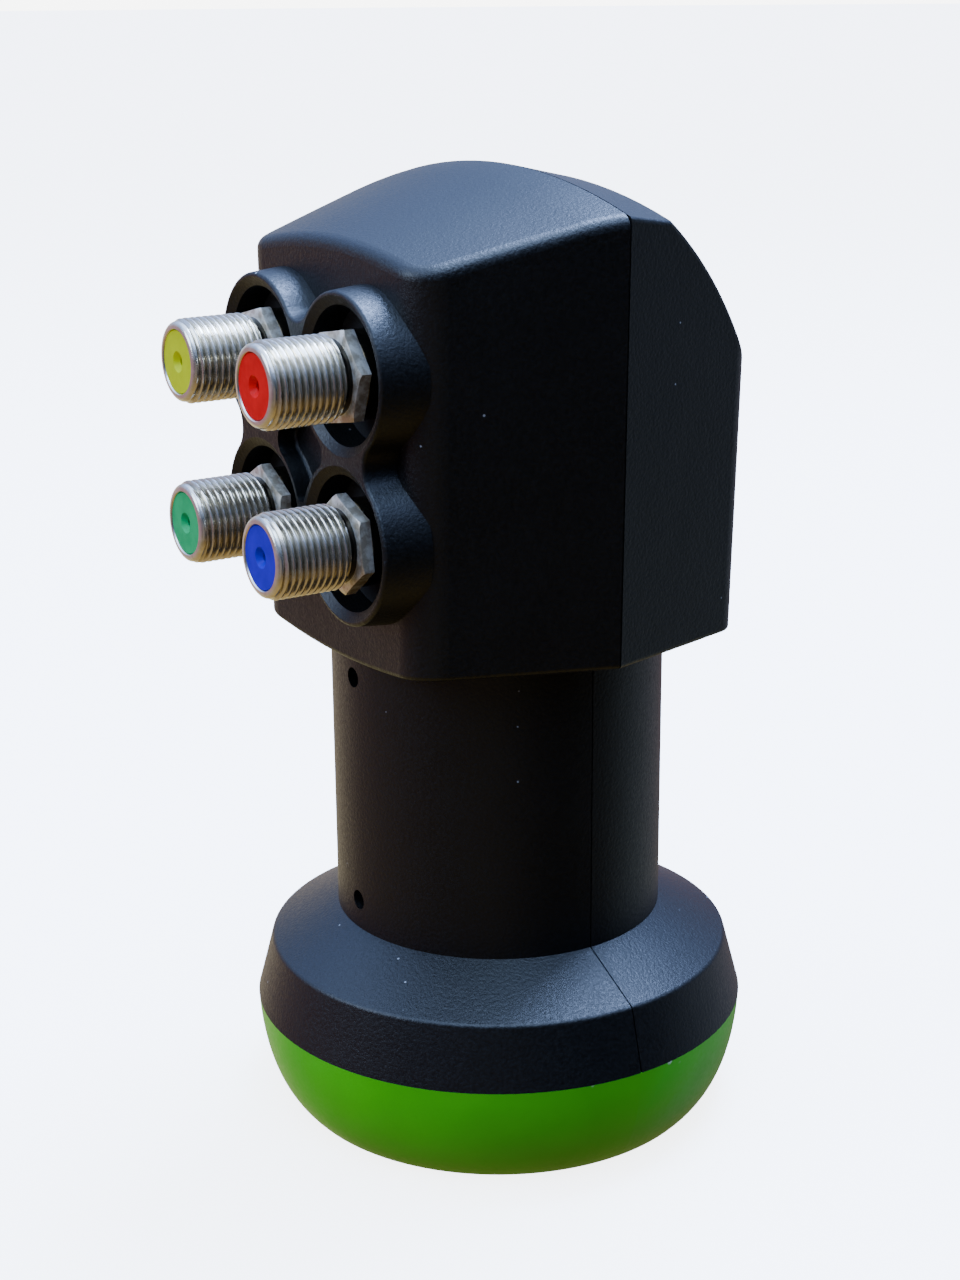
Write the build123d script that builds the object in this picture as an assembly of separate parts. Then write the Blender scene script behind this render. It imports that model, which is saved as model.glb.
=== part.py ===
# Quad satellite LNB standing on its feed cap. Millimetres, +Z up along the feed axis.
# The origin is the middle of the cap's flat face. The connectors point to -Y, and the
# two casing halves meet on the plane y = 0.
from build123d import *
from math import cos, hypot, radians, sin, sqrt, tan
import os

os.makedirs("parts", exist_ok=True)

# Casing walls and seams
wall = 2.2
seam_groove_width = 0.16
seam_groove_depth = 0.5
tongue_inset = 1.3
tongue_length = 1.3
tongue_clearance = 0.1

# Neck and flare
neck_radius = 20.0
flare_top_z = 24.9
flare_edge_radius = 28.3
flare_edge_z = 20.5
band_radius = 30.3
band_bottom_z = 13.0
flare_edge_rounding = 0.7
neck_end_z = 68.0
neck_hole_radius = 1.2
neck_hole_heights = (28.5, 56.6)

# Ribs inside the rear half
cradle_heights = (69.0, 81.0)
cradle_wall = 1.6
cradle_half_width = 13.0
cradle_front_y = 3.5

# Head outline in plan, given at the height of the seam's side corners
outline_z = 110.2
head_half_width = 26.2
front_half_width = 18.9
rear_half_width = 21.25
front_depth = 22.05
rear_depth = 21.05
front_corner_radius = 5.0
rear_corner_radius = 3.0
side_draft = 1.05

# Head outline from the side: crown line over the middle, and the line under the belly
crown_seam_z = 114.4
crown_slope = 18.6
crown_bend_y = -4.5
crown_bend_z = 113.25
crown_radius = 86.0
shoulder_start = (6.6, 112.95)
shoulder_middle = (13.1, 106.75)
shoulder_end = (20.35, 95.8)
shoulder_tail_lean = 13.0
belly_seam_z = 58.2
belly_front_rise = 1.6
belly_rear_rise = 1.1
belly_radius = 126.0
crown_rounding = {"front": 1.7, "rear": 0.6}
belly_rounding = 0.6
rear_shoulder_rounding = 8.0

# Connector cluster
connector_half_pitch_x = 9.3
connector_half_pitch_z = 9.2
cluster_z = 84.6
rim_y = -26.0
collar_rim_radius = 9.1
collar_draft = 5.8
collar_root_y = -20.3
side_waist_radius = 3.2
top_waist_radius = 3.2
collar_bore_radius = 7.6
collar_mouth_radius = 8.65
collar_mouth_depth = 0.65
collar_floor_y = -20.9
rim_rounding = 0.42
well_side_rounding = 1.9
well_end_rounding = 1.0
well_depth = 2.4
well_floor_rounding = 0.45

# F connectors
thread_radius = 4.7625
tip_y = -36.1
hex_front_y = -26.45
hex_back_y = -24.9
hex_across_flats = 9.7
hex_bevel_depth = 0.6
hex_turns = {"upper_left": 14.0, "upper_right": 10.0, "lower_left": 30.0, "lower_right": 38.0}
relief_width = 0.7
relief_radius = 4.1
tip_chamfer = 0.65
shoulder_radius = 4.9
shank_radius = 4.1
shank_back_y = -15.6
insulator_radius = 3.5
insulator_recess = 0.15
dimple_radius = 1.2
dimple_depth = 0.55
contact_radius = 0.5
contact_recess = 1.6
running_clearance = 0.06
contact_sleeve_radius = 0.95
contact_sleeve_back_y = -19.0
shell_hole_clearance = 0.3
seal_thickness = 1.0
seal_clearance = 0.1

# Feed cap
cap_floor = 1.6
cap_hollow_radius = 25.3
cap_hollow_controls = ((27.6, 2.4), (28.0, 5.0))
cap_hollow_top = (28.1, 9.2)
cap_curve_controls = ((29.77, 3.8),)
cap_face_radius = 25.94
skirt_top_z = 16.5
skirt_bore_radius = 25.9
skirt_lead = 1.2
skirt_clearance = 0.25
seal_rib_top_z = 5.4

# Chassis casting
waveguide_radius = 8.75
tube_radius = 10.9
waveguide_end_z = 85.5
end_wall = 2.5
horn_throat_z = 31.0
ring_wall = 1.3
ring_radii = (12.4, 18.2, 23.9)
ring_tips = (11.0, 9.0, 7.0)
groove_floors = (18.4, 16.4)
flange_wall = 1.8
casting_clearance = 0.3
collar_heights = (28.5, 56.6)
collar_height = 4.0
fin_wall = 1.4
plate_half_width = 18.2
plate_bottom_z = 65.6
plate_top_z = 103.6
plate_thickness = 2.5
plate_corner = 3.0

# Chassis cover, board and what is on it
cover_front_y = -18.7
cover_plate = 2.4
cover_rim = 2.0
cover_half_width = 15.8
cover_bottom_z = 66.4
cover_top_z = 102.8
cover_depth = 6.8
cover_corner = 2.4
cover_edge_rounding = 0.6
board_thickness = 1.0
board_edge_gap = 0.3
screw_radius = 1.1
screw_head_radius = 2.0
screw_head_height = 1.4
screw_slot = 0.5
screw_socket_radius = 0.85
boss_radius = 2.4
screw_x = 13.2
screw_heights = (69.2, 84.6, 100.0)
shank_boss_radius = 5.2
shank_boss_back_y = -15.4
resonator_radius = 2.6
resonator_height = 2.0
resonator_heights = (79.6, 89.6)
tuning_screw_radius = 1.9
tuning_screw_gap = 0.8
chip_size = 7.0
chip_height = 1.0
chip_z = 96.6
regulator_size = (4.0, 5.0, 1.6)
regulator_z = 73.1

# Probes in the waveguide
probe_radius = 0.45
probe_reach = 4.6
probe_tail = 0.4
vertical_probe_z = 69.2
isolation_pin_z = 74.8
isolation_pin_radius = 0.75
horizontal_probe_z = 80.4
horizontal_probe_x = 12.8
sleeve_radius = 1.3
probe_bend_radius = 1.2

# Worked-out places
board_front_y = cover_front_y + cover_depth
board_back_y = board_front_y + board_thickness
plate_back_y = board_back_y + plate_thickness
cover_inner_y = cover_front_y + cover_plate
band_slope = (band_radius - flare_edge_radius) / (flare_edge_z - band_bottom_z)
band_wall = wall * hypot(1, band_slope)
corners = {
    "upper_left": (-connector_half_pitch_x, cluster_z + connector_half_pitch_z),
    "upper_right": (connector_half_pitch_x, cluster_z + connector_half_pitch_z),
    "lower_left": (-connector_half_pitch_x, cluster_z - connector_half_pitch_z),
    "lower_right": (connector_half_pitch_x, cluster_z - connector_half_pitch_z),
}
head_ends = {
    "front": (front_half_width, -front_depth, front_corner_radius),
    "rear": (rear_half_width, rear_depth, rear_corner_radius),
}
belly_rises = {
    "front": (belly_front_rise, -front_depth),
    "rear": (belly_rear_rise, rear_depth),
}
big = 80.0
overrun = 6.0


def block(x0, x1, y0, y1, z0, z1):
    """Box between two corners."""
    middle = Pos((x0 + x1) / 2, (y0 + y1) / 2, (z0 + z1) / 2)
    return middle * Box(x1 - x0, y1 - y0, z1 - z0)


def rod_y(radius, y0, y1, x, z):
    """Cylinder along Y."""
    return Plane((x, max(y0, y1), z), z_dir=(0, -1, 0)) * extrude(Circle(radius), abs(y1 - y0))


def turned(points):
    """Solid of revolution about Z from (radius, height) corners."""
    return revolve(Plane.XZ * make_face(Polyline(*points, close=True)), Axis.Z)


# Head form. Each half runs a little past the seam, so that it can be cut clean there.


def plan_outline(half, inset, height):
    """One half of the head seen from above at one height, drawn inwards by an inset.

    The sides and the rear face have draft. The front face stands upright.
    """
    end_width, end_y, corner = head_ends[half]
    outward = head_half_width + overrun * (head_half_width - end_width) / abs(end_y)
    past_seam = overrun if end_y < 0 else -overrun
    draft = (outline_z - height) * tan(radians(side_draft))
    shrink = inset + draft
    if half == "front":
        end_width -= draft * (head_half_width - end_width) / abs(end_y)
        end_y -= draft
    corners_in_order = [
        (end_width, end_y),
        (outward, past_seam),
        (-outward, past_seam),
        (-end_width, end_y),
    ]
    outline = make_face(Polyline(*corners_in_order, close=True))
    outline = offset(outline, -shrink, kind=Kind.INTERSECTION)
    ends = outline.vertices().sort_by_distance((0, end_y * 3, 0))[:2]
    outline = fillet(ends, max(corner - inset, 0.5))
    return Pos(0, 0, height) * outline


def crown_region(half, inset):
    """Region under one half of the crown line in the plane x = 0, drawn inwards."""
    centre_z = crown_seam_z - crown_radius
    far = big / 2
    if half == "front":
        rise = tan(radians(crown_slope))
        start = (-far, crown_bend_z - (crown_bend_y + far) * rise)
        straight = Line(start, (crown_bend_y, crown_bend_z))
        ease = TangentArc((crown_bend_y, crown_bend_z), (0, crown_seam_z), tangent=straight % 1)
        end_direction = ease % 1
        past = (overrun, crown_seam_z + overrun * end_direction.Y / end_direction.X)
        beyond = Line((0, crown_seam_z), past)
        closing = Polyline(past, (overrun, centre_z), (-far, centre_z), start)
        region = make_face([straight, ease, beyond, closing])
    else:
        fall = (crown_seam_z - shoulder_start[1]) / shoulder_start[0]
        start = (-overrun, crown_seam_z + overrun * fall)
        lean = (shoulder_end[1] - centre_z) * tan(radians(shoulder_tail_lean))
        tail_end = (shoulder_end[0] + lean, centre_z)
        closing = Polyline(shoulder_end, tail_end, (-overrun, centre_z), start, shoulder_start)
        if inset:
            shoulder = Polyline(shoulder_start, shoulder_middle, shoulder_end)
            region = make_face([shoulder, closing])
        else:
            shoulder = ThreePointArc(shoulder_start, shoulder_middle, shoulder_end)
            region = make_face([shoulder, closing])
            turn = region.vertices().sort_by_distance((*shoulder_end, 0))[0]
            region = fillet(turn, rear_shoulder_rounding)
    if inset:
        region = offset(region, -inset, kind=Kind.INTERSECTION)
    return Plane.YZ * region


def belly_region(half, inset):
    """Region over one half of the belly line in the plane x = 0, drawn inwards."""
    rise, depth = belly_rises[half]
    far_y = 2 * depth
    near_y = -overrun if depth > 0 else overrun
    slope = rise / depth
    top = belly_seam_z + belly_radius
    corners_in_order = [
        (near_y, belly_seam_z + slope * near_y),
        (far_y, belly_seam_z + slope * far_y),
        (far_y, top),
        (near_y, top),
    ]
    region = make_face(Polyline(*corners_in_order, close=True))
    if inset:
        region = offset(region, -inset, kind=Kind.INTERSECTION)
    return Plane.YZ * region


def head_form(half, inset):
    """One half of the head with every face drawn inwards by an inset."""
    low = plan_outline(half, inset, belly_seam_z - 4)
    high = plan_outline(half, inset, crown_seam_z + 4)
    prism = loft([low, high], ruled=True)
    crown_axis = Axis((0, 0, crown_seam_z - crown_radius), (0, 1, 0))
    belly_axis = Axis((0, 0, belly_seam_z + belly_radius), (0, 1, 0))
    crown = revolve(crown_region(half, inset).rotate(crown_axis, -60), crown_axis, 120)
    belly = revolve(belly_region(half, inset).rotate(belly_axis, -60), belly_axis, 120)
    return prism & crown & belly


# Neck, flare and connector cluster


def neck_form(inset, bottom_z):
    """Neck, cone and band as one turned solid, drawn inwards by an inset."""
    reach = 30.0
    low = band_bottom_z - reach
    corners_in_order = [
        (-reach, low),
        (band_radius + band_slope * reach, low),
        (flare_edge_radius, flare_edge_z),
        (neck_radius, flare_top_z),
        (neck_radius, neck_end_z),
        (-reach, neck_end_z),
    ]
    profile = make_face(Polyline(*corners_in_order, close=True))
    if inset:
        profile = offset(profile, -inset, kind=Kind.INTERSECTION)
    else:
        edge = profile.vertices().sort_by_distance((flare_edge_radius, flare_edge_z))[0]
        profile = fillet(edge, flare_edge_rounding)
    window = Pos(big / 2, (bottom_z + neck_end_z + 1) / 2) * Rectangle(big, neck_end_z + 1 - bottom_z)
    return revolve(Plane.XZ * (profile & window), Axis.Z)


def casing_form(half, inset, bottom_z):
    """One half of the casing with its neck, drawn inwards by an inset."""
    return head_form(half, inset) + neck_form(inset, bottom_z)


def cluster_outline(growth):
    """Outer edge of the four joined collars, grown outwards."""
    radius = collar_rim_radius + growth
    half_x = connector_half_pitch_x
    half_z = connector_half_pitch_z
    outline = Rectangle(2 * half_x, 2 * half_z)
    for x in (-half_x, half_x):
        for z in (-half_z, half_z):
            outline += Pos(x, z) * Circle(radius)
    side_reach = half_x + sqrt((collar_rim_radius + side_waist_radius) ** 2 - half_z**2)
    end_reach = half_z + sqrt((collar_rim_radius + top_waist_radius) ** 2 - half_x**2)
    for sign in (-1, 1):
        side = [(half_x * sign, -half_z), (side_reach * sign, 0), (half_x * sign, half_z)]
        end = [(-half_x, half_z * sign), (0, end_reach * sign), (half_x, half_z * sign)]
        outline += make_face(Polyline(*side, close=True))
        outline += make_face(Polyline(*end, close=True))
    for sign in (-1, 1):
        outline -= Pos(side_reach * sign, 0) * Circle(side_waist_radius - growth)
        outline -= Pos(0, end_reach * sign) * Circle(top_waist_radius - growth)
    return outline


def well_outline():
    """Four-pointed hollow between the collars."""
    half_x = connector_half_pitch_x
    half_z = connector_half_pitch_z
    side = half_x - sqrt((collar_rim_radius + well_side_rounding) ** 2 - half_z**2)
    end = half_z - sqrt((collar_rim_radius + well_end_rounding) ** 2 - half_x**2)
    star = [
        (half_x, half_z),
        (0, end),
        (-half_x, half_z),
        (-side, 0),
        (-half_x, -half_z),
        (0, -end),
        (half_x, -half_z),
        (side, 0),
    ]
    outline = make_face(Polyline(*star, close=True))
    for x in (-half_x, half_x):
        for z in (-half_z, half_z):
            outline -= Pos(x, z) * Circle(collar_rim_radius)
    for sign in (-1, 1):
        outline += Pos(side * sign, 0) * Circle(well_side_rounding)
        outline += Pos(0, end * sign) * Circle(well_end_rounding)
    return outline


def facing(y):
    """Drawing plane at a depth, seen from the connector side."""
    return Plane((0, y, cluster_z), x_dir=(1, 0, 0), z_dir=(0, -1, 0))


def collar_cluster():
    """Four joined collars with rounded rims, still solid inside."""
    root_growth = (collar_root_y - rim_y) * tan(radians(collar_draft))
    rim = facing(rim_y) * cluster_outline(0)
    root = facing(collar_root_y) * cluster_outline(root_growth)
    cluster = loft([rim, root])
    return fillet(cluster.faces().sort_by(Axis.Y)[0].edges(), rim_rounding)


def bored_cluster(solid):
    """The casing with the four connector bores and the hollow cut into it."""
    flare = (collar_mouth_radius - collar_bore_radius) / collar_mouth_depth
    mouth_corners = [
        (0, rim_y - 1),
        (collar_mouth_radius + flare, rim_y - 1),
        (collar_bore_radius, rim_y + collar_mouth_depth),
        (0, rim_y + collar_mouth_depth),
    ]
    for x, z in corners.values():
        solid -= rod_y(collar_bore_radius, rim_y - 1, collar_floor_y, x, z)
        solid -= turned_y(mouth_corners, x, z)
        solid -= rod_y(shoulder_radius + shell_hole_clearance, rim_y - 1, 0, x, z)
    well = extrude(facing(rim_y + well_depth) * well_outline(), big / 4)
    solid -= fillet(well.faces().sort_by(Axis.Y)[-1].edges(), well_floor_rounding)
    return solid


# Casing halves


def rounded_head(half):
    """One half of the head with its outer edges rounded."""
    head = head_form(half, 0)
    end_y = head_ends[half][1]
    own_side = [e for e in head.edges() if e.center().Y / end_y > -0.1 and e.length > wall / 2]
    high = [e for e in own_side if e.center().Z > shoulder_end[1] - 2 * wall]
    at_sides = [e for e in high if abs(e.center().X) > front_half_width - wall]
    at_end = [e for e in high if e not in at_sides and 0.9 < e.center().Y / end_y < 1.1]
    head = fillet(at_sides + at_end, crown_rounding[half])
    low = [e for e in head.edges() if e.center().Z < belly_seam_z + 2 * wall]
    return fillet([e for e in low if e.center().Y / end_y > 0.05], belly_rounding)


def make_front_shell():
    past_seam = block(-big, big, 0, big, 0, 2 * big)
    shell = rounded_head("front") + neck_form(0, band_bottom_z)
    shell += collar_cluster()
    shell -= casing_form("front", wall, band_bottom_z - 2)
    shell = bored_cluster(shell)
    shell -= past_seam
    for z in neck_hole_heights:
        shell -= rod_y(neck_hole_radius, -neck_radius - 1, -neck_radius + wall + 1, 0, z)
    seam_cut = block(-big, big, -seam_groove_width / 2, 1, 0, 2 * big)
    shell -= seam_cut - casing_form("front", seam_groove_depth, 0)
    tongue = casing_form("rear", tongue_inset, band_bottom_z) - casing_form("rear", wall, 0)
    shell += tongue & block(-big, big, 0, tongue_length, band_bottom_z, 2 * big)
    return shell


def make_rear_shell():
    before_seam = block(-big, big, -big, 0, 0, 2 * big)
    shell = rounded_head("rear") + neck_form(0, band_bottom_z)
    cradles = head_form("rear", wall / 2) & cradle_blocks()
    shell -= casing_form("rear", wall, band_bottom_z - 2)
    shell += cradles
    shell -= before_seam
    seam_cut = block(-big, big, -1, seam_groove_width / 2, 0, 2 * big)
    shell -= seam_cut - casing_form("rear", seam_groove_depth, 0)
    rebate = block(-big, big, -1, tongue_length + tongue_clearance, 0, 2 * big)
    return shell - (rebate & casing_form("rear", tongue_inset - tongue_clearance, 0))


def cradle_blocks():
    """Ribs of the rear half that hold the waveguide from behind."""
    ribs = []
    for z in cradle_heights:
        low = z - cradle_wall / 2
        rib = block(-cradle_half_width, cradle_half_width, cradle_front_y, big, low, low + cradle_wall)
        ribs.append(rib - Cylinder(tube_radius + casting_clearance, 4 * big))
    return ribs[0] + ribs[1:]


def make_feed_cap():
    outside = Bezier((band_radius, band_bottom_z), *cap_curve_controls, (cap_face_radius, 0))
    floor_line = Polyline((cap_face_radius, 0), (0, 0), (0, cap_floor), (cap_hollow_radius, cap_floor))
    inside = Bezier((cap_hollow_radius, cap_floor), *cap_hollow_controls, cap_hollow_top)
    skirt = Polyline(
        cap_hollow_top,
        (skirt_bore_radius, band_bottom_z - skirt_lead),
        (skirt_bore_radius, skirt_top_z),
        (skirt_radius_at(skirt_top_z), skirt_top_z),
        (skirt_radius_at(band_bottom_z), band_bottom_z),
        (band_radius, band_bottom_z),
    )
    profile = make_face([outside, floor_line, inside, skirt])
    cap = revolve(Plane.XZ * profile, Axis.Z)
    ring = ring_radii[-1]
    rib = [
        (ring, cap_floor / 2),
        (ring + ring_wall, cap_floor / 2),
        (ring + ring_wall, seal_rib_top_z),
        (ring, seal_rib_top_z),
    ]
    return cap + turned(rib)


def skirt_radius_at(z):
    """Outer radius of the cap's skirt, held a clearance inside the band."""
    return band_radius - (z - band_bottom_z) * band_slope - band_wall - skirt_clearance


def make_cap_seal():
    ring = ring_radii[-1]
    return turned(
        [
            (ring, seal_rib_top_z),
            (ring + ring_wall, seal_rib_top_z),
            (ring + ring_wall, ring_tips[-1]),
            (ring, ring_tips[-1]),
        ]
    )


# Connectors


def hex_points(turn):
    """Corners of a hex flange."""
    radius = hex_across_flats / 2 / cos(radians(30))
    return [(radius * cos(radians(turn + 60 * i)), radius * sin(radians(turn + 60 * i))) for i in range(6)]


def turned_y(points, x, z):
    """Solid of revolution about a connector's axis from (radius, y) corners."""
    profile = make_face(Polyline(*[(radius, -y) for radius, y in points], close=True))
    spun = revolve(Plane.XZ * profile, Axis.Z)
    return Pos(x, 0, z) * Rot(90, 0, 0) * spun


def make_connector(name):
    x, z = corners[name]
    body = turned_y(
        [
            (insulator_radius + running_clearance, tip_y),
            (thread_radius - tip_chamfer, tip_y),
            (thread_radius, tip_y + tip_chamfer),
            (thread_radius, hex_front_y - relief_width),
            (relief_radius, hex_front_y - relief_width),
            (relief_radius, hex_front_y),
            (shoulder_radius, hex_front_y),
            (shoulder_radius, cover_front_y),
            (shank_radius, cover_front_y),
            (shank_radius, shank_back_y),
            (insulator_radius + running_clearance, shank_back_y),
        ],
        x,
        z,
    )
    flange = make_face(Polyline(*hex_points(hex_turns[name]), close=True))
    plane = Plane((x, hex_back_y, z), x_dir=(1, 0, 0), z_dir=(0, -1, 0))
    flange = extrude(plane * flange, hex_back_y - hex_front_y)
    flange &= turned_y(
        [
            (0, hex_front_y),
            (hex_across_flats / 2 - 0.1, hex_front_y),
            (hex_across_flats / 2 + 1.2, hex_front_y + hex_bevel_depth),
            (hex_across_flats / 2 + 1.2, hex_back_y - 0.2),
            (hex_across_flats / 2 + 0.8, hex_back_y),
            (0, hex_back_y),
        ],
        x,
        z,
    )
    flange -= rod_y(relief_radius - 0.1, hex_front_y - 1, hex_back_y + 1, x, z)
    return body + flange


def make_insulator(name):
    x, z = corners[name]
    front_y = tip_y + insulator_recess
    sleeve = contact_sleeve_radius + running_clearance
    pin = contact_radius + running_clearance
    return turned_y(
        [
            (contact_radius, front_y + dimple_depth),
            (dimple_radius, front_y),
            (insulator_radius, front_y),
            (insulator_radius, shank_back_y),
            (pin, shank_back_y),
            (pin, contact_sleeve_back_y),
            (sleeve, contact_sleeve_back_y),
            (sleeve, tip_y + contact_recess),
            (contact_radius, tip_y + contact_recess),
        ],
        x,
        z,
    )


def make_contact(name):
    x, z = corners[name]
    return turned_y(
        [
            (0, contact_sleeve_back_y - 1),
            (contact_radius, contact_sleeve_back_y - 1),
            (contact_radius, tip_y + contact_recess + 0.05),
            (contact_sleeve_radius, tip_y + contact_recess + 0.05),
            (contact_sleeve_radius, contact_sleeve_back_y),
            (contact_radius, contact_sleeve_back_y),
            (contact_radius, board_back_y - 0.2),
            (0, board_back_y - 0.2),
        ],
        x,
        z,
    )


def make_seal(name):
    x, z = corners[name]
    inner = shoulder_radius + seal_clearance
    outer = collar_bore_radius - seal_clearance
    return turned_y(
        [
            (inner, collar_floor_y - seal_thickness),
            (outer, collar_floor_y - seal_thickness),
            (outer, collar_floor_y),
            (inner, collar_floor_y),
        ],
        x,
        z,
    )


# Casting, cover and board


def plate_face(half_width, bottom_z, top_z, corner, y):
    """Rounded upright rectangle facing the connector side."""
    plane = Plane((0, y, (bottom_z + top_z) / 2), x_dir=(1, 0, 0), z_dir=(0, -1, 0))
    return plane * RectangleRounded(2 * half_width, top_z - bottom_z, corner)


def screw_places():
    """Middles of the cover screws."""
    return [(x, z) for z in screw_heights for x in (-screw_x, screw_x)]


def make_chassis_casting():
    flange_outer = ring_radii[-1] + ring_wall
    flange_top_z = 19.6
    horn = turned(
        [
            (waveguide_radius, horn_throat_z),
            (ring_radii[0], ring_tips[0]),
            (ring_radii[0] + ring_wall, ring_tips[0]),
            (ring_radii[0] + ring_wall, groove_floors[0]),
            (ring_radii[1], groove_floors[0]),
            (ring_radii[1], ring_tips[1]),
            (ring_radii[1] + ring_wall, ring_tips[1]),
            (ring_radii[1] + ring_wall, groove_floors[1]),
            (ring_radii[2], groove_floors[1]),
            (ring_radii[2], ring_tips[2]),
            (flange_outer, ring_tips[2]),
            (flange_outer, groove_floors[1] + flange_wall),
            (17.4, 21.4),
            (tube_radius + flange_wall, 21.4),
            (tube_radius, horn_throat_z),
            (tube_radius, waveguide_end_z + end_wall),
            (0, waveguide_end_z + end_wall),
            (0, waveguide_end_z),
            (waveguide_radius, waveguide_end_z),
        ]
    )
    outer = neck_radius - wall - casting_clearance
    casting = horn
    core = Cylinder(tube_radius - 0.4, 4 * big)
    for z in collar_heights:
        casting += Pos(0, 0, z) * Cylinder(outer, collar_height) - core
    half_fin = fin_wall / 2
    fins = block(-outer, outer, -half_fin, half_fin, *collar_heights)
    fins += block(-half_fin, half_fin, -outer, outer, *collar_heights)
    casting += fins - core
    plate = plate_face(plate_half_width, plate_bottom_z, plate_top_z, plate_corner, plate_back_y)
    plate = extrude(plate, plate_thickness)
    casting += plate - Cylinder(tube_radius - 0.4, 2 * (waveguide_end_z + 1))
    casting -= block(-big, big, -big, board_back_y, plate_bottom_z - 1, 2 * big)
    for x, z in screw_places():
        casting -= rod_y(screw_radius + running_clearance, -big, big, x, z)
    casting -= rod_y(sleeve_radius + running_clearance, -big, 0, 0, vertical_probe_z)
    casting -= rod_y(sleeve_radius + running_clearance, -big, 0, horizontal_probe_x, horizontal_probe_z)
    crosswise = Pos(tube_radius, 0, horizontal_probe_z) * Rot(0, 90, 0)
    casting -= crosswise * Cylinder(sleeve_radius + running_clearance, 8)
    pin_hole_radius = isolation_pin_radius + running_clearance
    return casting - rod_y(pin_hole_radius, -big, waveguide_radius + 1, 0, isolation_pin_z)


def make_chassis_cover():
    face = plate_face(cover_half_width, cover_bottom_z, cover_top_z, cover_corner, board_front_y)
    cover = extrude(face, cover_depth)
    hollow = plate_face(
        cover_half_width - cover_rim,
        cover_bottom_z + cover_rim,
        cover_top_z - cover_rim,
        cover_corner / 2,
        board_front_y,
    )
    cover -= extrude(hollow, cover_depth - cover_plate)
    front_edges = cover.faces().sort_by(Axis.Y)[0].edges()
    cover = fillet(front_edges, cover_edge_rounding)
    for x, z in corners.values():
        cover += rod_y(shank_boss_radius, cover_inner_y - 0.5, shank_boss_back_y, x, z)
        cover -= rod_y(shank_radius + running_clearance, cover_front_y - 1, 0, x, z)
    for x, z in screw_places():
        cover += rod_y(boss_radius, cover_inner_y - 0.5, board_front_y, x, z)
        cover -= rod_y(screw_radius + running_clearance, cover_front_y - 1, 0, x, z)
        head_y = cover_front_y + screw_head_height
        cover -= rod_y(screw_head_radius + running_clearance, cover_front_y - 1, head_y, x, z)
    for z in resonator_heights:
        cover += rod_y(tuning_screw_radius + 1, cover_inner_y - 0.5, cover_inner_y + 1, 0, z)
        cover -= rod_y(tuning_screw_radius + running_clearance, cover_front_y - 1, 0, 0, z)
    return cover


def make_circuit_board():
    inset = board_edge_gap
    face = plate_face(
        cover_half_width - inset,
        cover_bottom_z + inset,
        cover_top_z - inset,
        cover_corner,
        board_back_y,
    )
    board = extrude(face, board_thickness)
    for x, z in screw_places():
        board -= rod_y(screw_radius + 2 * running_clearance, -big, 0, x, z)
    for x, z in corners.values():
        board -= rod_y(contact_radius + running_clearance, -big, 0, x, z)
    board -= rod_y(probe_radius + running_clearance, -big, 0, 0, vertical_probe_z)
    return board - rod_y(probe_radius + running_clearance, -big, 0, horizontal_probe_x, horizontal_probe_z)


def make_cover_screws():
    screws = []
    head_back_y = cover_front_y + screw_head_height
    socket = RegularPolygon(screw_socket_radius, 6)
    for x, z in screw_places():
        screw = rod_y(screw_head_radius, cover_front_y, head_back_y, x, z)
        screw += rod_y(screw_radius, head_back_y, plate_back_y - 0.5, x, z)
        plane = Plane((x, cover_front_y, z), x_dir=(1, 0, 0), z_dir=(0, -1, 0))
        screws.append(screw - extrude(plane * socket, -screw_head_height / 2))
    return Compound(children=screws)


def make_tuning_screws():
    screws = []
    end_y = board_front_y - resonator_height - tuning_screw_gap
    for z in resonator_heights:
        screw = rod_y(tuning_screw_radius, cover_front_y, end_y, 0, z)
        half_slot = screw_slot / 2
        slot = block(-big, big, cover_front_y - 1, cover_front_y + 0.7, z - half_slot, z + half_slot)
        screws.append(screw - slot)
    return Compound(children=screws)


def make_resonator(z):
    puck = rod_y(resonator_radius, board_front_y - resonator_height, board_front_y, 0, z)
    rim = puck.faces().sort_by(Axis.Y)[0].edges()
    return chamfer(rim, 0.3)


def make_switch_chip():
    half = chip_size / 2
    return block(-half, half, board_front_y - chip_height, board_front_y, chip_z - half, chip_z + half)


def make_voltage_regulator():
    width, height, depth = regulator_size
    body = block(
        -width / 2,
        width / 2,
        board_front_y - depth,
        board_front_y,
        regulator_z - height / 2,
        regulator_z + height / 2,
    )
    return chamfer(body.faces().sort_by(Axis.Y)[0].edges(), 0.3)


def make_vertical_probe():
    end_y = probe_reach - waveguide_radius
    return rod_y(probe_radius, board_front_y - probe_tail, end_y, 0, vertical_probe_z)


def make_horizontal_probe():
    start = (horizontal_probe_x, board_front_y - probe_tail, horizontal_probe_z)
    turn_start = (horizontal_probe_x, -probe_bend_radius, horizontal_probe_z)
    turn_end = (horizontal_probe_x - probe_bend_radius, 0, horizontal_probe_z)
    end = (waveguide_radius - probe_reach, 0, horizontal_probe_z)
    path = Line(start, turn_start) + TangentArc(turn_start, turn_end, tangent=(0, 1, 0))
    path += Line(turn_end, end)
    return sweep(Plane(start, z_dir=(0, 1, 0)) * Circle(probe_radius), path)


def make_sleeve(y0, y1):
    """Insulating tube around a probe, lying along Y at the origin."""
    tube = rod_y(sleeve_radius, y0, y1, 0, 0)
    return tube - rod_y(probe_radius + running_clearance, y0 - 1, y1 + 1, 0, 0)


def make_vertical_sleeve():
    return Pos(0, 0, vertical_probe_z) * make_sleeve(board_back_y, -waveguide_radius)


def make_plate_sleeve():
    return Pos(horizontal_probe_x, 0, horizontal_probe_z) * make_sleeve(board_back_y, plate_back_y)


def make_tube_sleeve():
    sleeve = make_sleeve(-tube_radius, -waveguide_radius)
    return Pos(0, 0, horizontal_probe_z) * Rot(0, 0, 90) * sleeve


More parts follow.
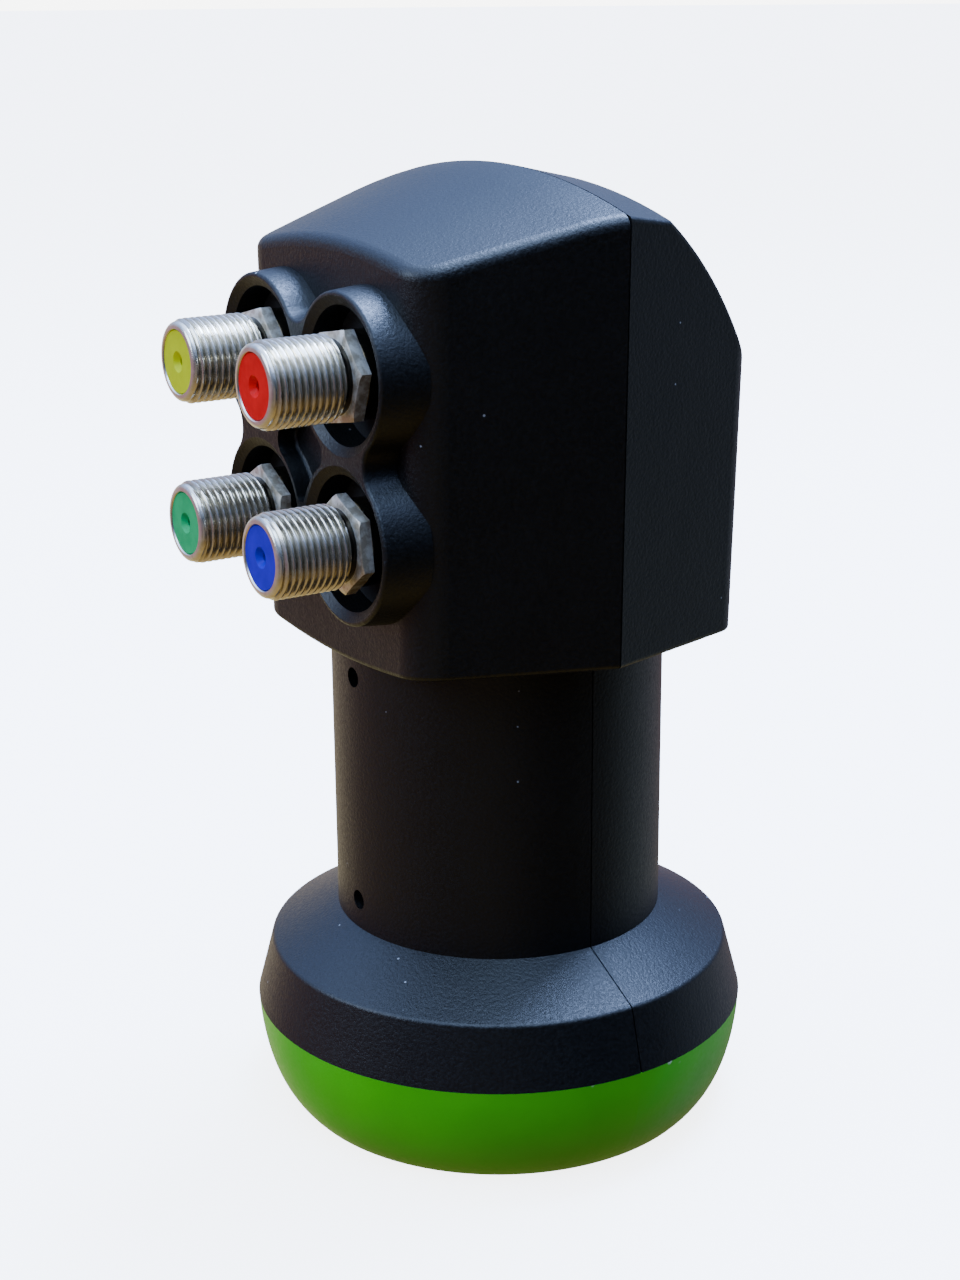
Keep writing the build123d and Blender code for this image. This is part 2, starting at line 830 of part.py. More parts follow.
def make_isolation_pin():
    return rod_y(isolation_pin_radius, board_back_y, waveguide_radius + 1, 0, isolation_pin_z)


# Files


def save(name, solid):
    """Write one node."""
    export_step(solid, f"parts/{name}.step")
    print(name, round(solid.volume, 1), len(solid.solids()), solid.is_valid)


save("front_shell", make_front_shell())
save("rear_shell", make_rear_shell())
save("feed_cap", make_feed_cap())
save("cap_seal", make_cap_seal())
save("chassis_casting", make_chassis_casting())
save("chassis_cover", make_chassis_cover())
save("circuit_board", make_circuit_board())
save("cover_screws", make_cover_screws())
save("tuning_screws", make_tuning_screws())
save("resonator_upper", make_resonator(resonator_heights[1]))
save("resonator_lower", make_resonator(resonator_heights[0]))
save("switch_chip", make_switch_chip())
save("voltage_regulator", make_voltage_regulator())
save("vertical_probe", make_vertical_probe())
save("horizontal_probe", make_horizontal_probe())
save("vertical_probe_sleeve", make_vertical_sleeve())
save("plate_sleeve", make_plate_sleeve())
save("tube_sleeve", make_tube_sleeve())
save("isolation_pin", make_isolation_pin())
for name in corners:
    save("connector_" + name, make_connector(name))
    save("insulator_" + name, make_insulator(name))
    save("contact_" + name, make_contact(name))
    save("seal_" + name, make_seal(name))
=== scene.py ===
import math

import bpy
from mathutils import Matrix, Vector


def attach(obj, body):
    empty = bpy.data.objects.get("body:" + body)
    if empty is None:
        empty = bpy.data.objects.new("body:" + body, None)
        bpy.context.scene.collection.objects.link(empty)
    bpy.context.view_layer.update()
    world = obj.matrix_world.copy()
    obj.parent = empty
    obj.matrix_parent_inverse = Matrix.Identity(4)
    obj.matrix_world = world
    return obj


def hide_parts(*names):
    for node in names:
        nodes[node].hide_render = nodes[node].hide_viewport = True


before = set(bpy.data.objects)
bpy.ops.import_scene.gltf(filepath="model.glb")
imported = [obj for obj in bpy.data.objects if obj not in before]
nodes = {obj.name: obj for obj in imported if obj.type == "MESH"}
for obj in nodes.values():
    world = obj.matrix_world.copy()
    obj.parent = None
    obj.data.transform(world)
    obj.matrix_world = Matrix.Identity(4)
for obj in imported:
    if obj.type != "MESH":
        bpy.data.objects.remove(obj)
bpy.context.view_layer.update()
MM = 0.001

# Output connectors, in millimetres
HALF_PITCH_X = 9.3
HALF_PITCH_Z = 9.2
CLUSTER_Z = 84.6
TIP_Y = -36.1
CREST_RADIUS = 4.7625
ROOT_RADIUS = 4.27
PITCH = 0.794
HEX_FRONT_Y = -26.45
HEX_BACK_Y = -24.9
HEX_ACROSS = 9.7
HEX_BEVEL = 0.55
RELIEF_RADIUS = 4.1
RELIEF_WIDTH = 0.7
SHOULDER_RADIUS = 4.9
COVER_Y = -18.7
SHANK_RADIUS = 4.1
SHANK_BACK_Y = -15.6
BORE_RADIUS = 3.56

# Thread form: the share of a turn left flat at the root, and the share that its two flanks take
ROOT_SHARE = 0.14
FLANK_SHARE = 0.70
# How fast the thread grows out of the relief and out of the tip
RELIEF_GROWTH = 1.6
TIP_GROWTH = 1.3
TIP_START = 0.12
# Gaps that the thread leaves behind the lip and before the relief
THREAD_GAP = 0.15
RELIEF_EDGE = 0.05
# How quickly the painted shade of the thread's root fades out towards the crest
CREST_CONTRAST = 1.6
# Rounded lip of the mouth
LIP_DEPTH = 0.55
LIP_STEPS = 9
LIP_STEP_ANGLE = math.pi / 16
LIP_SPREAD = 0.65
LIP_INSET = 0.12
LIP_FIRST_STEP = 0.16
MOUTH_DEPTH = 0.35
MOUTH_EDGE = 0.02
# Front face and corners of the hex
HEX_FRONT_GAP = 0.04
HEX_INNER_EDGE = 0.06
HEX_FACE_INSET = 0.2
HEX_CORNER_BREAK = 0.32
HEX_FACE_SLOPE = 0.12
HEX_EDGE_DEPTH = 0.05
HEX_SIDE_DEPTH = 0.12
HEX_BACK_BREAK = 0.08
# Points round a connector, and rings along one turn of its thread
STEPS_AROUND = 144
RINGS_PER_TURN = 12
# Edges that turn by more than this many degrees stay hard
SHARP_EDGE = 38
# Points this close in front of the hex count as hex
FLANGE_MARGIN = 0.01

# Painted shade on the metal: 1 where there is none, 0 at the root of a thread, -1 for the deepest
# painted shade
UNSHADED = 1.0
DEEPEST_SHADE = -1.0
SHADED = -0.9
HALF_SHADED = 0.5
LIGHTLY_SHADED = 0.7
BACK_EDGE_SHADED = 0.8

# Place of each connector, turn of its hex in degrees, and where its thread starts in turns
PORTS = {
    "upper_left": (-HALF_PITCH_X, CLUSTER_Z + HALF_PITCH_Z, 14.0, 0.1),
    "upper_right": (HALF_PITCH_X, CLUSTER_Z + HALF_PITCH_Z, 10.0, 0.45),
    "lower_left": (-HALF_PITCH_X, CLUSTER_Z - HALF_PITCH_Z, 30.0, 0.7),
    "lower_right": (HALF_PITCH_X, CLUSTER_Z - HALF_PITCH_Z, 38.0, 0.25),
}

# Height of the join between cap and shell, in metres
CAP_EDGE_Z = 0.013

# Brightness of the floor and of the plain backdrop that only the camera sees
FLOOR_GLOW = 4.5
BACKDROP_GLOW = 7.0
# X of the directions where the sky is all dark and all lit
SKY_DARK_X = 0.78
SKY_LIT_X = -0.90

# Sky colours from straight down (-1) to straight up (+1), on the -X side and on the +X side
SKY_LIT = [
    (-1.0, (0.520, 0.390, 0.140)),
    (-0.48, (0.480, 0.370, 0.190)),
    (-0.28, (0.400, 0.210, 0.250)),
    (0.0, (0.380, 0.200, 0.230)),
    (0.25, (0.420, 0.520, 0.850)),
    (0.50, (0.500, 0.800, 1.800)),
    (0.75, (1.300, 1.900, 3.400)),
    (1.0, (2.300, 3.300, 5.600)),
]
SKY_DARK = [
    (-1.0, (0.400, 0.290, 0.100)),
    (-0.70, (0.160, 0.110, 0.040)),
    (-0.45, (0.012, 0.011, 0.009)),
    (0.0, (0.006, 0.006, 0.007)),
    (0.30, (0.020, 0.025, 0.040)),
    (0.60, (0.220, 0.320, 0.600)),
    (0.80, (1.300, 1.900, 3.400)),
    (1.0, (2.300, 3.300, 5.600)),
]
# Soft glows near the horizon: direction, edge and full cosine, colour
GLOWS = [
    ((-0.93, 0.22, -0.29), (0.80, 0.97), (0.640, 0.640, 0.400)),
    ((0.05, 0.95, -0.30), (0.75, 0.97), (0.130, 0.250, 0.330)),
    ((0.75, -0.58, -0.32), (0.86, 0.98), (0.150, 0.125, 0.100)),
]


# Material helpers


class Recipe:
    """A node material being put together."""

    def __init__(self, name):
        self.material = bpy.data.materials.new(name)
        self.material.use_nodes = True
        self.tree = self.material.node_tree
        self.shader = self.tree.nodes["Principled BSDF"]
        self.place = self.add("ShaderNodeTexCoord").outputs["Object"]

    def add(self, kind, **settings):
        node = self.tree.nodes.new(kind)
        for key, value in settings.items():
            setattr(node, key, value)
        return node

    def link(self, source, target):
        self.tree.links.new(source, target)

    def set(self, **values):
        for key, value in values.items():
            self.shader.inputs[key.replace("_", " ")].default_value = value

    def noise(self, scale, detail=2.0, roughness=0.5):
        node = self.add("ShaderNodeTexNoise")
        node.inputs["Scale"].default_value = scale
        node.inputs["Detail"].default_value = detail
        node.inputs["Roughness"].default_value = roughness
        self.link(self.place, node.inputs["Vector"])
        return node.outputs["Fac"]

    def spread(self, value, low, high, out_low, out_high):
        node = self.add("ShaderNodeMapRange")
        node.inputs["From Min"].default_value = low
        node.inputs["From Max"].default_value = high
        node.inputs["To Min"].default_value = out_low
        node.inputs["To Max"].default_value = out_high
        self.link(value, node.inputs["Value"])
        return node.outputs["Result"]

    def blend(self, amount, first, second):
        """Colour mix. first and second are colours or sockets."""
        node = self.add("ShaderNodeMix", data_type="RGBA")
        self.link(amount, node.inputs["Factor"])
        for socket, value in ((node.inputs["A"], first), (node.inputs["B"], second)):
            if isinstance(value, tuple):
                socket.default_value = (*value, 1.0)
            else:
                self.link(value, socket)
        return node.outputs["Result"]

    def times(self, first, second):
        node = self.add("ShaderNodeMath", operation="MULTIPLY")
        self.link(first, node.inputs[0])
        self.link(second, node.inputs[1])
        return node.outputs["Value"]

    def plus(self, first, second):
        node = self.add("ShaderNodeMath", operation="ADD")
        self.link(first, node.inputs[0])
        self.link(second, node.inputs[1])
        return node.outputs["Value"]

    def specks(self, scale, size, share):
        """Sparse small dots: 1 inside a dot and 0 elsewhere."""
        cells = self.add("ShaderNodeTexVoronoi", feature="F1")
        cells.inputs["Scale"].default_value = scale
        self.link(self.place, cells.inputs["Vector"])
        dot = self.spread(cells.outputs["Distance"], size, size * 0.6, 0.0, 1.0)
        pick = self.add("ShaderNodeSeparateColor")
        self.link(cells.outputs["Color"], pick.inputs["Color"])
        chosen = self.spread(pick.outputs["Red"], 1.0 - share, 1.0 - share + 0.001, 0.0, 1.0)
        return self.times(dot, chosen)

    def band(self, level, half_width):
        """1 at a height and 0 beyond half_width above or below it."""
        parts = self.add("ShaderNodeSeparateXYZ")
        self.link(self.place, parts.inputs["Vector"])
        offset = self.add("ShaderNodeMath", operation="SUBTRACT")
        self.link(parts.outputs["Z"], offset.inputs[0])
        offset.inputs[1].default_value = level
        size = self.add("ShaderNodeMath", operation="ABSOLUTE")
        self.link(offset.outputs["Value"], size.inputs[0])
        return self.spread(size.outputs["Value"], 0.0, half_width, 1.0, 0.0)

    def bump(self, height, strength, distance, before=None):
        node = self.add("ShaderNodeBump")
        node.inputs["Strength"].default_value = strength
        node.inputs["Distance"].default_value = distance
        self.link(height, node.inputs["Height"])
        if before is not None:
            self.link(before, node.inputs["Normal"])
        self.link(node.outputs["Normal"], self.shader.inputs["Normal"])
        return node.outputs["Normal"]

    def colour(self, source):
        self.link(source, self.shader.inputs["Base Color"])

    def roughness(self, source):
        self.link(source, self.shader.inputs["Roughness"])


def dress(names, material):
    """Gives CAD nodes one material."""
    for name in names:
        mesh = nodes[name].data
        mesh.materials.clear()
        mesh.materials.append(material)


def moulded_black():
    recipe = Recipe("black_shell")
    cloud = recipe.noise(90.0, 3.0)
    patches = recipe.spread(cloud, 0.35, 0.65, 0.0, 1.0)
    body = recipe.blend(patches, (0.0010, 0.0010, 0.0010), (0.0022, 0.0022, 0.0022))
    dust = recipe.specks(330.0, 0.055, 0.17)
    recipe.colour(recipe.blend(dust, body, (0.35, 0.36, 0.38)))
    grain = recipe.noise(2600.0, 3.0, 0.6)
    recipe.roughness(recipe.spread(grain, 0.3, 0.7, 0.34, 0.50))
    wide = recipe.bump(recipe.noise(160.0, 2.0), 0.10, 0.0006)
    recipe.bump(grain, 0.75, 0.00009, wide)
    recipe.set(Specular_IOR_Level=0.5)
    return recipe.material


def moulded_green():
    recipe = Recipe("green_cap")
    cloud = recipe.noise(70.0, 3.0)
    patches = recipe.spread(cloud, 0.35, 0.65, 0.0, 1.0)
    body = recipe.blend(patches, (0.034, 0.520, 0.002), (0.048, 0.610, 0.004))
    nicks = recipe.times(recipe.specks(700.0, 0.30, 0.14), recipe.band(CAP_EDGE_Z, 0.0009))
    recipe.colour(recipe.blend(nicks, body, (0.55, 0.75, 0.48)))
    grain = recipe.noise(1800.0, 2.0, 0.5)
    recipe.roughness(recipe.spread(grain, 0.3, 0.7, 0.34, 0.44))
    wide = recipe.bump(recipe.noise(120.0, 2.0), 0.08, 0.0006)
    recipe.bump(grain, 0.18, 0.00004, wide)
    return recipe.material


def plated_metal():
    """Nickel with painted shade in the thread's roots, the relief groove and the shoulder behind the
    hex, and worn and duller on the hex.
    """
    recipe = Recipe("nickel")
    # The mesh gives each point its level of painted shade and says whether it is on the hex (flange)
    painted_light_level = recipe.add("ShaderNodeAttribute", attribute_name="painted_light_level").outputs["Fac"]
    grime = recipe.noise(900.0, 4.0, 0.6)
    flange = recipe.add("ShaderNodeAttribute", attribute_name="flange").outputs["Fac"]
    patches = recipe.spread(grime, 0.3, 0.7, 0.0, 1.0)
    metal_tone = recipe.blend(patches, (0.76, 0.68, 0.54), (0.92, 0.85, 0.74))
    # Painted shade: the thread's roots are darker, and the relief and the shoulder behind the hex
    # nearly black
    below_root = recipe.spread(painted_light_level, DEEPEST_SHADE, 0.0, 0.0, 1.0)
    shaded_groove = recipe.blend(below_root, (0.03, 0.025, 0.018), (0.42, 0.36, 0.24))
    thread = recipe.blend(recipe.spread(painted_light_level, 0.0, UNSHADED, 0.0, 1.0), shaded_groove, metal_tone)
    scuffs = recipe.spread(grime, 0.40, 0.60, 0.0, 1.0)
    worn = recipe.blend(scuffs, (0.60, 0.50, 0.36), (0.98, 0.92, 0.80))
    recipe.colour(recipe.blend(flange, thread, worn))
    shine = recipe.spread(grime, 0.3, 0.7, 0.14, 0.26)
    dull = recipe.spread(flange, 0.0, 1.0, 0.0, 0.16)
    recipe.roughness(recipe.plus(shine, dull))
    recipe.bump(recipe.noise(3200.0, 2.0), 0.20, 0.00003)
    recipe.link(recipe.spread(flange, 0.0, 1.0, 0.86, 0.58), recipe.shader.inputs["Metallic"])
    return recipe.material


def insulator_plastic(name, deep, light):
    recipe = Recipe(name)
    cloud = recipe.noise(500.0, 2.0)
    recipe.colour(recipe.blend(recipe.spread(cloud, 0.35, 0.65, 0.0, 1.0), deep, light))
    grain = recipe.noise(2400.0, 2.0)
    recipe.roughness(recipe.spread(grain, 0.3, 0.7, 0.30, 0.42))
    recipe.bump(grain, 0.2, 0.00003)
    recipe.set(Specular_IOR_Level=0.08)
    return recipe.material


def cast_metal():
    recipe = Recipe("die_cast")
    cloud = recipe.noise(220.0, 4.0, 0.6)
    recipe.colour(recipe.blend(cloud, (0.42, 0.42, 0.43), (0.62, 0.62, 0.63)))
    grain = recipe.noise(2200.0, 3.0)
    recipe.roughness(recipe.spread(grain, 0.3, 0.7, 0.38, 0.58))
    recipe.bump(grain, 0.4, 0.00006)
    recipe.set(Metallic=1.0)
    return recipe.material


def plain_stuff(name, dark, light, rough_low, rough_high, metallic=0.0):
    recipe = Recipe(name)
    cloud = recipe.noise(300.0, 3.0)
    recipe.colour(recipe.blend(cloud, dark, light))
    grain = recipe.noise(2400.0, 2.0)
    recipe.roughness(recipe.spread(grain, 0.3, 0.7, rough_low, rough_high))
    recipe.bump(grain, 0.25, 0.00004)
    recipe.set(Metallic=metallic)
    return recipe.material


black_shell = moulded_black()
nickel = plated_metal()
die_cast = cast_metal()
brass = plain_stuff("contact_brass", (0.60, 0.42, 0.18), (0.78, 0.58, 0.28), 0.22, 0.34, 1.0)
steel = plain_stuff("screw_steel", (0.45, 0.45, 0.46), (0.62, 0.62, 0.62), 0.28, 0.42, 1.0)
rubber = plain_stuff("seal_rubber", (0.004, 0.004, 0.004), (0.007, 0.007, 0.007), 0.75, 0.85)
board = plain_stuff("board", (0.010, 0.110, 0.035), (0.016, 0.160, 0.055), 0.30, 0.42)
chip = plain_stuff("chip_black", (0.014, 0.014, 0.014), (0.024, 0.024, 0.025), 0.40, 0.55)
ceramic = plain_stuff("resonator_ceramic", (0.50, 0.41, 0.29), (0.62, 0.52, 0.38), 0.45, 0.60)
sleeve = plain_stuff("sleeve_white", (0.72, 0.72, 0.70), (0.82, 0.82, 0.80), 0.40, 0.50)

dress(["front_shell", "rear_shell"], black_shell)
dress(["feed_cap"], moulded_green())
dress(["chassis_casting", "chassis_cover"], die_cast)
dress(["circuit_board"], board)
dress(["switch_chip", "voltage_regulator"], chip)
dress(["resonator_upper", "resonator_lower"], ceramic)
dress(["vertical_probe_sleeve", "plate_sleeve", "tube_sleeve"], sleeve)
dress(["cover_screws", "isolation_pin"], steel)
dress(["tuning_screws", "vertical_probe", "horizontal_probe"], brass)
dress(["cap_seal"] + ["seal_" + port for port in PORTS], rubber)
dress(["contact_" + port for port in PORTS], brass)
insulators = {
    "upper_left": insulator_plastic("insulator_yellow", (0.66, 0.70, 0.0), (0.74, 0.78, 0.0)),
    "upper_right": insulator_plastic("insulator_red", (0.76, 0.0, 0.003), (0.88, 0.002, 0.006)),
    "lower_left": insulator_plastic("insulator_green", (0.0, 0.42, 0.12), (0.0, 0.50, 0.15)),
    "lower_right": insulator_plastic("insulator_blue", (0.008, 0.0, 0.44), (0.014, 0.0, 0.54)),
}
for port, material in insulators.items():
    dress(["insulator_" + port], material)


# Connectors with their cut threads


def thread_radius(y, angle, start):
    """Radius of the thread at a depth and an angle, rounded off at the tip and the relief."""
    turn = (y / PITCH + angle / (2 * math.pi) + start) % 1.0
    slope = (abs(2 * turn - 1) - ROOT_SHARE) / FLANK_SHARE
    slope = min(max(slope, 0.0), 1.0)
    height = slope * slope * (3 - 2 * slope)
    radius = ROOT_RADIUS + (CREST_RADIUS - ROOT_RADIUS) * height
    relief_start = HEX_FRONT_Y - RELIEF_WIDTH
    fade = RELIEF_RADIUS + max(0.0, relief_start - y) * RELIEF_GROWTH
    return min(radius, fade)


def hex_radius(angle, turn):
    """Distance from the axis to the hex flat at an angle."""
    within = (math.degrees(angle) - turn) % 60.0 - 30.0
    return HEX_ACROSS / 2 / math.cos(math.radians(within))


def plain_ring(radius, y, painted_light_level=UNSHADED):
    """A round ring of points: radius, depth and its level of painted shade."""
    return [(radius, y, painted_light_level)] * STEPS_AROUND


def lip_rings():
    """Rings from inside the mouth, over its rounded lip, to the outside."""
    rings = [plain_ring(BORE_RADIUS, TIP_Y + MOUTH_DEPTH)]
    rings.append(plain_ring(BORE_RADIUS + MOUTH_EDGE, TIP_Y + LIP_INSET))
    for i in range(LIP_STEPS):
        bend = LIP_STEP_ANGLE * i
        radius = BORE_RADIUS + LIP_INSET + LIP_FIRST_STEP * min(i, 1) + LIP_SPREAD * math.sin(bend)
        rings.append(plain_ring(radius, TIP_Y + LIP_DEPTH * (1 - math.cos(bend))))
    return rings


def thread_rings(around, start):
    """Rings along the helical thread, from behind the lip to the relief."""
    rings = []
    first_y = TIP_Y + LIP_DEPTH + THREAD_GAP
    last_y = HEX_FRONT_Y - RELIEF_WIDTH
    count = int((last_y - first_y) / PITCH * RINGS_PER_TURN)
    for i in range(count + 1):
        y = first_y + (last_y - first_y) * i / count
        ring = []
        for angle in around:
            radius = thread_radius(y, angle, start)
            lead = ROOT_RADIUS + TIP_START + (y - first_y) * TIP_GROWTH
            radius = min(radius, max(lead, ROOT_RADIUS))
            # Painted shade, darker towards the thread's root
            painted_light_level = (radius - ROOT_RADIUS) / (CREST_RADIUS - ROOT_RADIUS)
            ring.append((radius, y, min(max(painted_light_level * CREST_CONTRAST, 0.0), UNSHADED)))
        rings.append(ring)
    # The relief groove in front of the hex gets the deepest painted shade
    rings.append(plain_ring(RELIEF_RADIUS, last_y + RELIEF_EDGE, DEEPEST_SHADE))
    rings.append(plain_ring(RELIEF_RADIUS, HEX_FRONT_Y - HEX_FRONT_GAP, DEEPEST_SHADE))
    return rings


def hex_rings(around, turn):
    """Rings over the hex flange: its face, bevelled corners, flats and back edge."""
    face = HEX_ACROSS / 2 - HEX_FACE_INSET
    # The inner edge of the hex face by the relief gets half painted shade
    rings = [plain_ring(RELIEF_RADIUS + HEX_INNER_EDGE, HEX_FRONT_Y, HALF_SHADED)]
    rings.append(plain_ring(face, HEX_FRONT_Y))
    flats = [hex_radius(angle, turn) for angle in around]
    corner = HEX_ACROSS / 2 / math.cos(math.radians(30))
    bevel_slope = HEX_BEVEL / (corner - face)
    front_edge = []
    side_edge = []
    for r in flats:
        cone = min(r, corner - HEX_CORNER_BREAK)
        front_edge.append((cone, HEX_FRONT_Y + HEX_EDGE_DEPTH + (cone - face) * HEX_FACE_SLOPE, UNSHADED))
        bevel = max(0.0, r - corner + HEX_CORNER_BREAK) * bevel_slope
        side_edge.append((r, HEX_FRONT_Y + HEX_SIDE_DEPTH + bevel, UNSHADED))
    rings.append(front_edge)
    rings.append(side_edge)
    rings.append([(r, HEX_BACK_Y - HEX_BACK_BREAK, UNSHADED) for r in flats])
    # The back edge of the hex gets a little painted shade
    rings.append([(r - HEX_BACK_BREAK, HEX_BACK_Y, BACK_EDGE_SHADED) for r in flats])
    return rings


def shank_rings():
    """Rings over the shoulder and the shank behind the hex, back to the bore."""
    return [
        # The shoulder behind the hex gets near-full painted shade, the shank a little
        plain_ring(SHOULDER_RADIUS, HEX_BACK_Y, SHADED),
        plain_ring(SHOULDER_RADIUS, COVER_Y, SHADED),
        plain_ring(SHANK_RADIUS, COVER_Y, LIGHTLY_SHADED),
        plain_ring(SHANK_RADIUS, SHANK_BACK_Y, LIGHTLY_SHADED),
        plain_ring(BORE_RADIUS, SHANK_BACK_Y, LIGHTLY_SHADED),
    ]


def make_connector(port):
    """A connector body, its helical thread and its hex flange as one mesh."""
    x, z, turn, start = PORTS[port]
    steps = STEPS_AROUND
    around = [2 * math.pi * i / steps for i in range(steps)]
    rings = lip_rings() + thread_rings(around, start) + hex_rings(around, turn) + shank_rings()
    points = []
    painted_light_levels = []
    flanges = []
    for ring in rings:
        for angle, (radius, y, painted_light_level) in zip(around, ring):
            across = x + radius * math.cos(angle)
            up = z + radius * math.sin(angle)
            points.append((across * MM, y * MM, up * MM))
            painted_light_levels.append(painted_light_level)
            flanges.append(float(HEX_FRONT_Y - FLANGE_MARGIN < y < HEX_BACK_Y))
    faces = []
    for row in range(len(rings)):
        below = row * steps
        above = (row + 1) % len(rings) * steps
        for i in range(steps):
            j = (i + 1) % steps
            faces.append((above + i, above + j, below + j, below + i))
    mesh = bpy.data.meshes.new("connector_look_" + port)
    mesh.from_pydata(points, [], faces)
    mesh.update()
    # The first attribute carries each point's painted shade, the second whether it is on the hex
    for label, values in (("painted_light_level", painted_light_levels), ("flange", flanges)):
        layer = mesh.attributes.new(label, "FLOAT", "POINT")
        layer.data.foreach_set("value", values)
    mesh.shade_smooth()
    mesh.set_sharp_from_angle(angle=math.radians(SHARP_EDGE))
    mesh.materials.append(nickel)
    piece = bpy.data.objects.new("connector_look_" + port, mesh)
    bpy.context.scene.collection.objects.link(piece)
    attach(piece, "root")
    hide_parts("connector_" + port)


for port in PORTS:
    make_connector(port)


# Floor, light and camera


def make_floor():
    """Large pale disc under the object."""
    steps = 96
    radius = 14.0
    angles = [2 * math.pi * i / steps for i in range(steps)]
    ring = [(radius * math.cos(angle), radius * math.sin(angle), 0) for angle in angles]
    mesh = bpy.data.meshes.new("floor")
    mesh.from_pydata(ring, [], [tuple(range(steps))])
    mesh.update()
    recipe = Recipe("floor_pale")
    recipe.colour(recipe.blend(recipe.noise(3.0, 2.0), (0.86, 0.86, 0.86), (0.90, 0.90, 0.90)))
    recipe.set(Roughness=0.9, Specular_IOR_Level=0.1)
    recipe.set(Emission_Color=(1, 1, 1, 1), Emission_Strength=FLOOR_GLOW)
    mesh.materials.append(recipe.material)
    floor = bpy.data.objects.new("floor", mesh)
    # A hair under the cap, so that the two faces don't lie in one plane
    floor.location.z = -0.0001
    floor.visible_glossy = False
    floor.visible_diffuse = False
    bpy.context.scene.collection.objects.link(floor)


def sky_ramp(tree, height, stops):
    """Colour ramp over the sine of the height above the horizon."""
    ramp = tree.nodes.new("ShaderNodeValToRGB")
    tree.links.new(height, ramp.inputs["Fac"])
    elements = ramp.color_ramp.elements
    while len(elements) < len(stops):
        elements.new(0.5)
    for element, (place, colour) in zip(elements, stops):
        element.position = (place + 1) / 2
        element.color = (*colour, 1.0)
    return ramp.outputs["Color"]


def add_glow(tree, coords, before, direction, edge, full, colour):
    """The colour before, plus a soft round patch of light about a direction."""
    facing = tree.nodes.new("ShaderNodeVectorMath")
    facing.operation = "DOT_PRODUCT"
    facing.inputs[1].default_value = Vector(direction).normalized()
    tree.links.new(coords, facing.inputs[0])
    amount = tree.nodes.new("ShaderNodeMapRange")
    amount.interpolation_type = "SMOOTHSTEP"
    amount.inputs["From Min"].default_value = edge
    amount.inputs["From Max"].default_value = full
    tree.links.new(facing.outputs["Value"], amount.inputs["Value"])
    total = tree.nodes.new("ShaderNodeMix")
    total.data_type = "RGBA"
    total.blend_type = "ADD"
    tree.links.new(amount.outputs["Result"], total.inputs["Factor"])
    tree.links.new(before, total.inputs["A"])
    total.inputs["B"].default_value = (*colour, 1.0)
    return total.outputs["Result"]


def make_world():
    """Cool bright sky over brown ground, with a reddish horizon at -X and a black one at +X."""
    world = bpy.data.worlds.new("studio")
    bpy.context.scene.world = world
    world.use_nodes = True
    tree = world.node_tree
    tree.nodes.clear()
    coords = tree.nodes.new("ShaderNodeTexCoord")
    parts = tree.nodes.new("ShaderNodeSeparateXYZ")
    tree.links.new(coords.outputs["Generated"], parts.inputs["Vector"])
    height = tree.nodes.new("ShaderNodeMapRange")
    height.inputs["From Min"].default_value = -1.0
    height.inputs["From Max"].default_value = 1.0
    tree.links.new(parts.outputs["Z"], height.inputs["Value"])
    side = tree.nodes.new("ShaderNodeMapRange")
    side.inputs["From Min"].default_value = SKY_DARK_X
    side.inputs["From Max"].default_value = SKY_LIT_X
    tree.links.new(parts.outputs["X"], side.inputs["Value"])
    sky = tree.nodes.new("ShaderNodeMix")
    sky.data_type = "RGBA"
    tree.links.new(side.outputs["Result"], sky.inputs["Factor"])
    tree.links.new(sky_ramp(tree, height.outputs["Result"], SKY_DARK), sky.inputs["A"])
    tree.links.new(sky_ramp(tree, height.outputs["Result"], SKY_LIT), sky.inputs["B"])
    total = sky.outputs["Result"]
    for direction, (edge, full), colour in GLOWS:
        total = add_glow(tree, coords.outputs["Generated"], total, direction, edge, full, colour)
    light = tree.nodes.new("ShaderNodeBackground")
    light.inputs["Strength"].default_value = 1.0
    tree.links.new(total, light.inputs["Color"])
    plain = tree.nodes.new("ShaderNodeBackground")
    plain.inputs["Color"].default_value = (1.0, 1.0, 1.0, 1.0)
    plain.inputs["Strength"].default_value = BACKDROP_GLOW
    paths = tree.nodes.new("ShaderNodeLightPath")
    mix = tree.nodes.new("ShaderNodeMixShader")
    tree.links.new(paths.outputs["Is Camera Ray"], mix.inputs["Fac"])
    tree.links.new(light.outputs["Background"], mix.inputs[1])
    tree.links.new(plain.outputs["Background"], mix.inputs[2])
    output = tree.nodes.new("ShaderNodeOutputWorld")
    tree.links.new(mix.outputs["Shader"], output.inputs["Surface"])


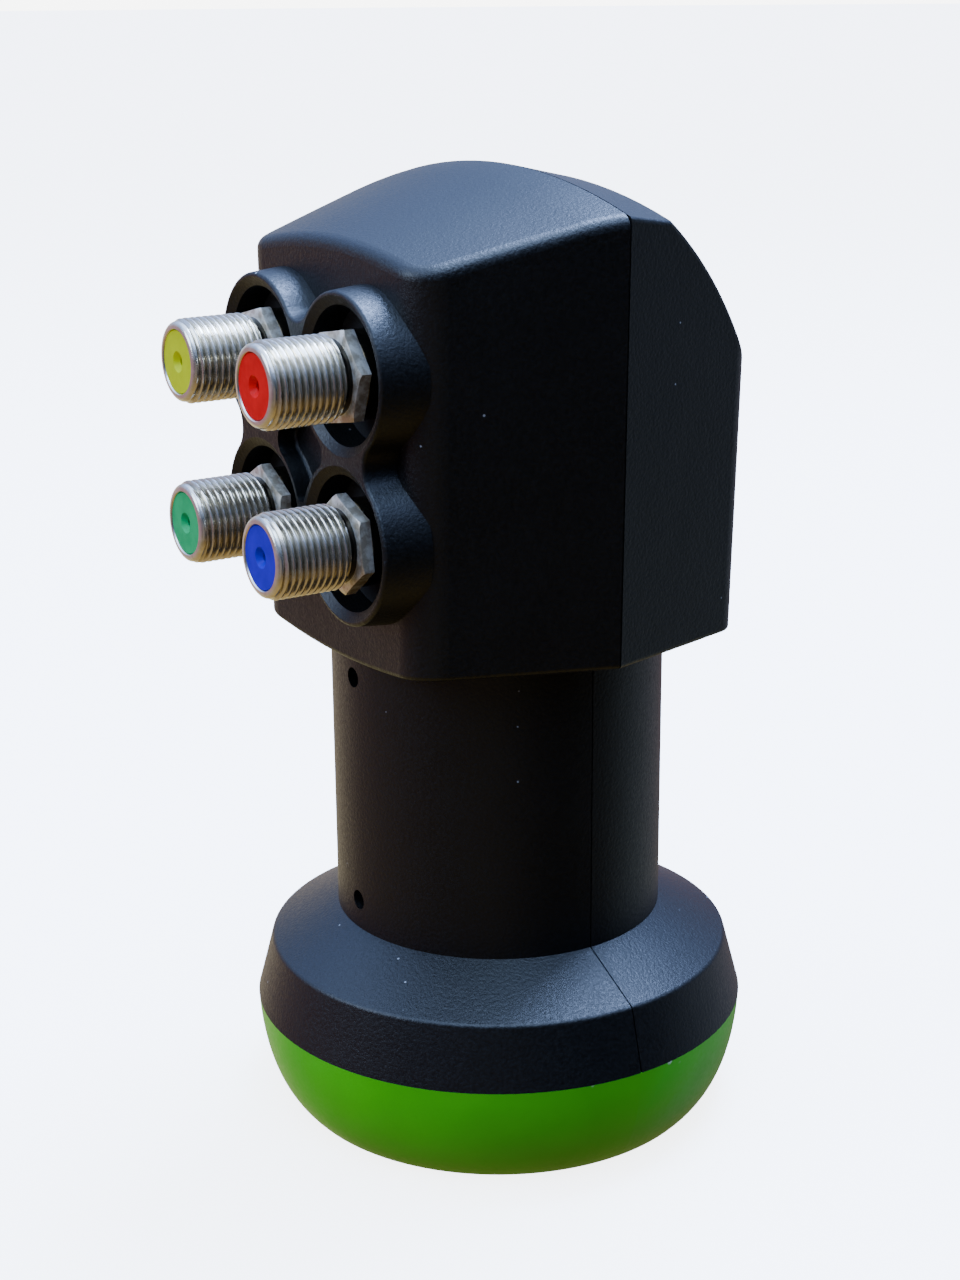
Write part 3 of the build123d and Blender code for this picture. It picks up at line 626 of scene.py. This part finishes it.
def add_light(name, place, aim, size, power, colour):
    """A square soft light at a place, turned towards a point."""
    data = bpy.data.lights.new(name, "AREA")
    data.shape = "SQUARE"
    data.size = size
    data.energy = power
    data.color = colour
    lamp = bpy.data.objects.new(name, data)
    lamp.location = place
    lamp.rotation_mode = "QUATERNION"
    lamp.rotation_quaternion = (Vector(aim) - Vector(place)).to_track_quat("-Z", "Y")
    bpy.context.scene.collection.objects.link(lamp)


def make_camera():
    """Camera at the photograph's angle, fitted to the connectors, neck and seam."""
    azimuth = math.radians(57.478)
    elevation = math.radians(17.065)
    roll = math.radians(-0.453)
    # Distance and target are in millimetres, and the focal length is in the photo's pixels
    distance = 258.275
    target_x = -2.018
    target_z = 57.726
    back = Vector(
        (
            math.sin(azimuth) * math.cos(elevation),
            -math.cos(azimuth) * math.cos(elevation),
            math.sin(elevation),
        )
    )
    level = Vector((math.cos(azimuth), math.sin(azimuth), 0.0))
    upward = back.cross(level)
    right = level * math.cos(roll) + upward * math.sin(roll)
    top = upward * math.cos(roll) - level * math.sin(roll)
    place = Vector((0, 0, target_z)) + level * target_x + back * distance
    data = bpy.data.cameras.new("camera")
    data.sensor_fit = "VERTICAL"
    focal_pixels = 2133.767
    photo_height = 1280
    sensor = 36.0
    data.sensor_height = sensor
    data.sensor_width = sensor
    data.lens = focal_pixels / photo_height * sensor
    data.clip_start = 0.01
    data.clip_end = 60.0
    camera = bpy.data.objects.new("camera", data)
    turn = Matrix((right, top, back)).transposed()
    camera.matrix_world = Matrix.Translation(place * MM) @ turn.to_4x4()
    bpy.context.scene.collection.objects.link(camera)
    bpy.context.scene.camera = camera


make_floor()
make_world()
add_light("key", (-0.08, 0.25, 0.74), (0, 0, 0.08), 0.30, 14.5, (0.40, 0.57, 1.0))
add_light("top", (0.22, -0.15, 0.75), (0, 0, 0.08), 0.30, 1.4, (0.55, 0.78, 1.0))
add_light("front", (-0.20, -0.68, 0.45), (0, 0, 0.08), 0.40, 3.4, (0.60, 0.76, 1.0))
make_camera()
